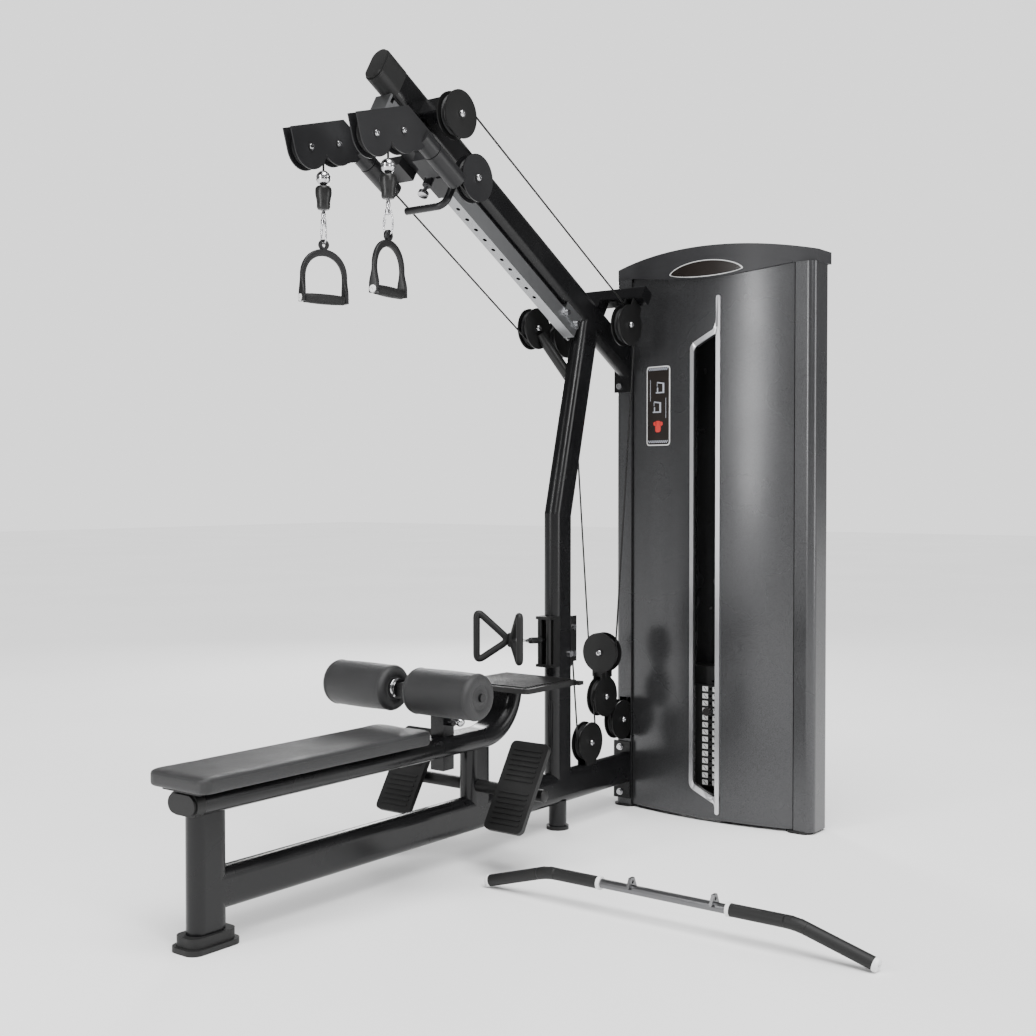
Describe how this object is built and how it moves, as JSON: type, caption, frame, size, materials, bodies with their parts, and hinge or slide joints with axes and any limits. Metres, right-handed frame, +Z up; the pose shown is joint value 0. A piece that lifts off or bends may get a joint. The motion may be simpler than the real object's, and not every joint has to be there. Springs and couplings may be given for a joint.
{
  "type": "lat pulldown machine",
  "caption": "Dual-arm cable machine: padded seat and thigh rollers under a sloping boom with a sliding carriage, weight tower, low row handle and a loose bar.",
  "frame": {"origin": "bottom centre of the round mid foot, on the floor under the mast", "axes": "+X along the base beam from the seat to the weight tower, +Y to the seated user's left, +Z up"},
  "size_m": [2.165, 1.7134, 2.3975],
  "materials": {
    "feet_rubber": "matt",
    "frame_black": "satin powder coat",
    "pad_vinyl": "grained vinyl",
    "track_silver": "satin",
    "guard_black": "satin",
    "tread_rubber": "ribbed, matt",
    "tower_gunmetal": "fine metallic gloss",
    "cap_charcoal": "fine texture",
    "trim_silver": "satin",
    "bright_steel": "polished",
    "stack_black": "satin paint",
    "cable_black": "smooth jacket",
    "pin_red": "gloss",
    "arm_black": "satin powder coat",
    "stop_parts": "satin rubber with polished fittings",
    "handle_black": "satin",
    "bar_grey": "satin",
    "grip_rubber": "matt",
    "wheel_black": "moulded"
  },
  "bodies": {
    "frame": {"end_fittings": "feet_rubber", "base_frame": "frame_black", "seat_rail": "frame_black", "seat_pad": "pad_vinyl", "mast": "frame_black", "boom": "frame_black", "boom_rail": "track_silver", "cross_tube": "frame_black", "pulley_guards": "guard_black", "foot_plates": "tread_rubber", "top_step": "tread_rubber", "row_guide": "guard_black", "tower_columns": "tower_gunmetal", "front_shroud": "tower_gunmetal", "rear_shroud": "tower_gunmetal", "tower_cap": "cap_charcoal", "tower_trim": "trim_silver", "guide_rods": "bright_steel", "stack_plates": "stack_black", "top_pulleys": "guard_black", "frame_bolts": "bright_steel", "cable_fixed": "cable_black"},
    "stack": {"stack_lifted": "stack_black", "cable_stack": "cable_black"},
    "selector_pin": {"selector_pin": "pin_red"},
    "block": {"pulley_block": "guard_black", "cable_block": "cable_black"},
    "carriage": {"carriage": "arm_black", "cable_carriage": "cable_black", "cable_boom": "cable_black"},
    "carriage_pin": {"carriage_pin": "bright_steel"},
    "head_left": {"head_left": "arm_black"},
    "head_right": {"head_right": "arm_black"},
    "stop_left": {"stop_left": "stop_parts", "cable_drop_left": "cable_black"},
    "stop_right": {"stop_right": "stop_parts", "cable_drop_right": "cable_black"},
    "dhandle_left": {"dhandle_left": "handle_black"},
    "dhandle_right": {"dhandle_right": "handle_black"},
    "row_handle": {"row_handle": "handle_black"},
    "roller_post": {"roller_post": "frame_black"},
    "roller_left": {"roller_left": "pad_vinyl"},
    "roller_right": {"roller_right": "pad_vinyl"},
    "roller_pin": {"roller_pin": "bright_steel"},
    "lat_bar": {"lat_bar": "bar_grey", "lat_bar_grips": "grip_rubber"},
    "wheel_head_rear_left": {"wheel_head_rear_left": "wheel_black"},
    "wheel_head_rear_right": {"wheel_head_rear_right": "wheel_black"},
    "wheel_head_front_left": {"wheel_head_front_left": "wheel_black"},
    "wheel_head_front_right": {"wheel_head_front_right": "wheel_black"},
    "wheel_carriage": {"wheel_carriage": "wheel_black"},
    "wheel_boom_upper": {"wheel_boom_upper": "wheel_black"},
    "wheel_boom_right": {"wheel_boom_right": "wheel_black"},
    "wheel_boom_left": {"wheel_boom_left": "wheel_black"},
    "wheel_cross_left": {"wheel_cross_left": "wheel_black"},
    "wheel_block_upper": {"wheel_block_upper": "wheel_black"},
    "wheel_block_lower": {"wheel_block_lower": "wheel_black"},
    "wheel_base": {"wheel_base": "wheel_black"},
    "wheel_tower_low": {"wheel_tower_low": "wheel_black"},
    "wheel_mast_row": {"wheel_mast_row": "wheel_black"}
  },
  "joints": [
    {"name": "stack_lift", "type": "slide", "parent": "frame", "child": "stack", "axis": [0, 0, 1], "range_m": [0, 1], "deforming": ["cable_stack"]},
    {"name": "selector_pull", "type": "slide", "parent": "stack", "child": "selector_pin", "axis": [-1, 0, 0], "range_m": [0, 0.1]},
    {"name": "block_rise", "type": "slide", "parent": "frame", "child": "block", "axis": [0, 0, 1], "range_m": [0, 0.5], "deforming": ["cable_block"]},
    {"name": "carriage_slide", "type": "slide", "parent": "frame", "child": "carriage", "axis": [0.866, 0, -0.5], "range_m": [0, 0.6], "deforming": ["cable_boom"]},
    {"name": "carriage_pin_pull", "type": "slide", "parent": "carriage", "child": "carriage_pin", "axis": [-0.5, 0, -0.866], "range_m": [0, 0.01], "stiffness_N_per_m": 400, "springref_m": -0.02},
    {"name": "head_swivel_left", "type": "hinge", "parent": "carriage", "child": "head_left", "pos_m": [-0.75849, 0.124, 2.08625], "axis": [0.866, 0, -0.5], "range_deg": [-5, 35]},
    {"name": "pull_left", "type": "slide", "parent": "head_left", "child": "stop_left", "axis": [0, 0, -1], "range_m": [0, 0.5], "deforming": ["cable_drop_left"]},
    {"name": "handle_swing_left", "type": "hinge", "parent": "stop_left", "child": "dhandle_left", "pos_m": [-0.97322, 0.124, 1.8398], "axis": [0.309, 0.9511, 0], "range_deg": [-30, 30]},
    {"name": "head_swivel_right", "type": "hinge", "parent": "carriage", "child": "head_right", "pos_m": [-0.75849, -0.124, 2.08625], "axis": [0.866, 0, -0.5], "range_deg": [-35, 5]},
    {"name": "pull_right", "type": "slide", "parent": "head_right", "child": "stop_right", "axis": [0, 0, -1], "range_m": [0, 0.5], "deforming": ["cable_drop_right"]},
    {"name": "handle_swing_right", "type": "hinge", "parent": "stop_right", "child": "dhandle_right", "pos_m": [-0.97322, -0.124, 1.8398], "axis": [-0.1392, 0.9903, 0], "range_deg": [-30, 30]},
    {"name": "row_pull", "type": "slide", "parent": "frame", "child": "row_handle", "axis": [-1, 0, 0], "range_m": [0, 0.21]},
    {"name": "roller_height", "type": "slide", "parent": "frame", "child": "roller_post", "axis": [0, 0, 1], "range_m": [0, 0.1]},
    {"name": "roller_spin_left", "type": "hinge", "parent": "roller_post", "child": "roller_left", "pos_m": [-0.766, 0.16, 0.56], "axis": [0, 1, 0], "continuous": true},
    {"name": "roller_spin_right", "type": "hinge", "parent": "roller_post", "child": "roller_right", "pos_m": [-0.766, -0.16, 0.56], "axis": [0, 1, 0], "continuous": true},
    {"name": "roller_pin_pull", "type": "slide", "parent": "frame", "child": "roller_pin", "axis": [0, -1, 0], "range_m": [0, 0.01], "stiffness_N_per_m": 400, "springref_m": -0.02},
    {"name": "lat_bar_lift", "type": "slide", "parent": "frame", "child": "lat_bar", "axis": [0, 0, 1], "range_m": [0, 0.5]},
    {"name": "wheel_head_rear_left_spin", "type": "hinge", "parent": "head_left", "child": "wheel_head_rear_left", "pos_m": [-0.92822, 0.124, 2.13228], "axis": [0, 1, 0], "continuous": true},
    {"name": "wheel_head_rear_right_spin", "type": "hinge", "parent": "head_right", "child": "wheel_head_rear_right", "pos_m": [-0.92822, -0.124, 2.13228], "axis": [0, 1, 0], "continuous": true},
    {"name": "wheel_head_front_left_spin", "type": "hinge", "parent": "head_left", "child": "wheel_head_front_left", "pos_m": [-1.03765, 0.124, 2.10274], "axis": [0, 1, 0], "continuous": true},
    {"name": "wheel_head_front_right_spin", "type": "hinge", "parent": "head_right", "child": "wheel_head_front_right", "pos_m": [-1.03765, -0.124, 2.10274], "axis": [0, 1, 0], "continuous": true},
    {"name": "wheel_carriage_spin", "type": "hinge", "parent": "carriage", "child": "wheel_carriage", "pos_m": [-0.60282, -0.124, 2.05988], "axis": [0, 1, 0], "continuous": true},
    {"name": "wheel_boom_upper_spin", "type": "hinge", "parent": "frame", "child": "wheel_boom_upper", "pos_m": [-0.67859, -0.124, 2.23065], "axis": [0, 1, 0], "continuous": true},
    {"name": "wheel_boom_right_spin", "type": "hinge", "parent": "frame", "child": "wheel_boom_right", "pos_m": [0.22944, -0.124, 1.7064], "axis": [0, 1, 0], "continuous": true},
    {"name": "wheel_boom_left_spin", "type": "hinge", "parent": "frame", "child": "wheel_boom_left", "pos_m": [0.03284, 0.124, 1.69288], "axis": [0, 1, 0], "continuous": true},
    {"name": "wheel_cross_left_spin", "type": "hinge", "parent": "frame", "child": "wheel_cross_left", "pos_m": [0.201, 0.124, 1.676], "axis": [0, 1, 0], "continuous": true},
    {"name": "wheel_block_upper_spin", "type": "hinge", "parent": "block", "child": "wheel_block_upper", "pos_m": [0.269, 0, 0.57], "axis": [1, 0, 0], "continuous": true},
    {"name": "wheel_block_lower_spin", "type": "hinge", "parent": "block", "child": "wheel_block_lower", "pos_m": [0.269, 0, 0.415], "axis": [0, 1, 0], "continuous": true},
    {"name": "wheel_base_spin", "type": "hinge", "parent": "frame", "child": "wheel_base", "pos_m": [0.176, 0, 0.267], "axis": [0, 1, 0], "continuous": true},
    {"name": "wheel_tower_low_spin", "type": "hinge", "parent": "frame", "child": "wheel_tower_low", "pos_m": [0.379, 0, 0.32], "axis": [0, 1, 0], "continuous": true},
    {"name": "wheel_mast_row_spin", "type": "hinge", "parent": "frame", "child": "wheel_mast_row", "pos_m": [0.029, 0, 0.59], "axis": [0, 1, 0], "continuous": true}
  ],
  "couplings": [
    {"joint": "block_rise", "follows": "stack_lift", "ratio": 0.5},
    {"joint": "pull_left", "follows": "stack_lift", "ratio": 0.5},
    {"joint": "pull_right", "follows": "stack_lift", "ratio": 0.5}
  ]
}
